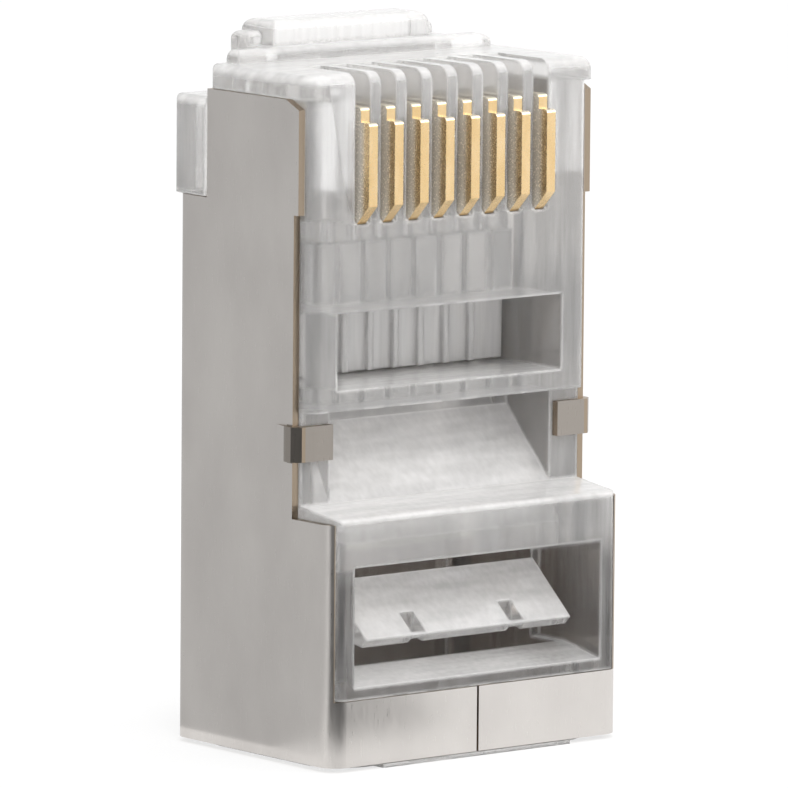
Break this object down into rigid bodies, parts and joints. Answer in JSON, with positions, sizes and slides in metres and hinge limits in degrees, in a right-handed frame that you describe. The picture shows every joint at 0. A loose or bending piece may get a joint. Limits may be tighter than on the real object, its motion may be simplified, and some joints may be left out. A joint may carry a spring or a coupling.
{
  "type": "rj45 modular plug",
  "caption": "Shielded modular plug for network cable, uncrimped: clear housing with gold contacts, folded metal shield and a locking latch.",
  "frame": {"origin": "centre of the standing rim round the cable entry, at the cable end", "axes": "+Z from the cable end to the nose, -Y the contact side, +Y the latch side, X across"},
  "size_m": [0.012, 0.0111, 0.0226],
  "materials": {
    "clear_plastic": "clear moulded polycarbonate, gloss",
    "shield_metal": "nickel-plated sheet, fine satin grain",
    "gold_contact": "thin bright gold plating over nickel"
  },
  "bodies": {
    "plug": {"housing": "clear_plastic", "shield": "shield_metal"},
    "latch": {"latch": "clear_plastic"},
    "jacket_bar": {"jacket_bar": "clear_plastic"},
    "conductor_bar": {"conductor_bar": "clear_plastic"},
    "contact_1": {"contact_1": "gold_contact"},
    "contact_2": {"contact_2": "gold_contact"},
    "contact_3": {"contact_3": "gold_contact"},
    "contact_4": {"contact_4": "gold_contact"},
    "contact_5": {"contact_5": "gold_contact"},
    "contact_6": {"contact_6": "gold_contact"},
    "contact_7": {"contact_7": "gold_contact"},
    "contact_8": {"contact_8": "gold_contact"}
  },
  "joints": [
    {"name": "latch_press", "type": "hinge", "parent": "plug", "child": "latch", "pos_m": [0, 0.00336, 0.02182], "axis": [-1, 0, 0], "range_deg": [0, 6.5], "stiffness_Nm_per_rad": 0.6},
    {"name": "jacket_bar_crimp", "type": "hinge", "parent": "plug", "child": "jacket_bar", "pos_m": [0, -0.00165, 0.0056], "axis": [1, 0, 0], "range_deg": [0, 35]},
    {"name": "conductor_bar_crimp", "type": "hinge", "parent": "plug", "child": "conductor_bar", "pos_m": [0, 0.00052, 0.01175], "axis": [-1, 0, 0], "range_deg": [0, 12]},
    {"name": "contact_1_crimp", "type": "slide", "parent": "plug", "child": "contact_1", "axis": [0, 1, 0], "range_m": [0, 0.00105]},
    {"name": "contact_2_crimp", "type": "slide", "parent": "plug", "child": "contact_2", "axis": [0, 1, 0], "range_m": [0, 0.00105]},
    {"name": "contact_3_crimp", "type": "slide", "parent": "plug", "child": "contact_3", "axis": [0, 1, 0], "range_m": [0, 0.00105]},
    {"name": "contact_4_crimp", "type": "slide", "parent": "plug", "child": "contact_4", "axis": [0, 1, 0], "range_m": [0, 0.00105]},
    {"name": "contact_5_crimp", "type": "slide", "parent": "plug", "child": "contact_5", "axis": [0, 1, 0], "range_m": [0, 0.00105]},
    {"name": "contact_6_crimp", "type": "slide", "parent": "plug", "child": "contact_6", "axis": [0, 1, 0], "range_m": [0, 0.00105]},
    {"name": "contact_7_crimp", "type": "slide", "parent": "plug", "child": "contact_7", "axis": [0, 1, 0], "range_m": [0, 0.00105]},
    {"name": "contact_8_crimp", "type": "slide", "parent": "plug", "child": "contact_8", "axis": [0, 1, 0], "range_m": [0, 0.00105]}
  ]
}
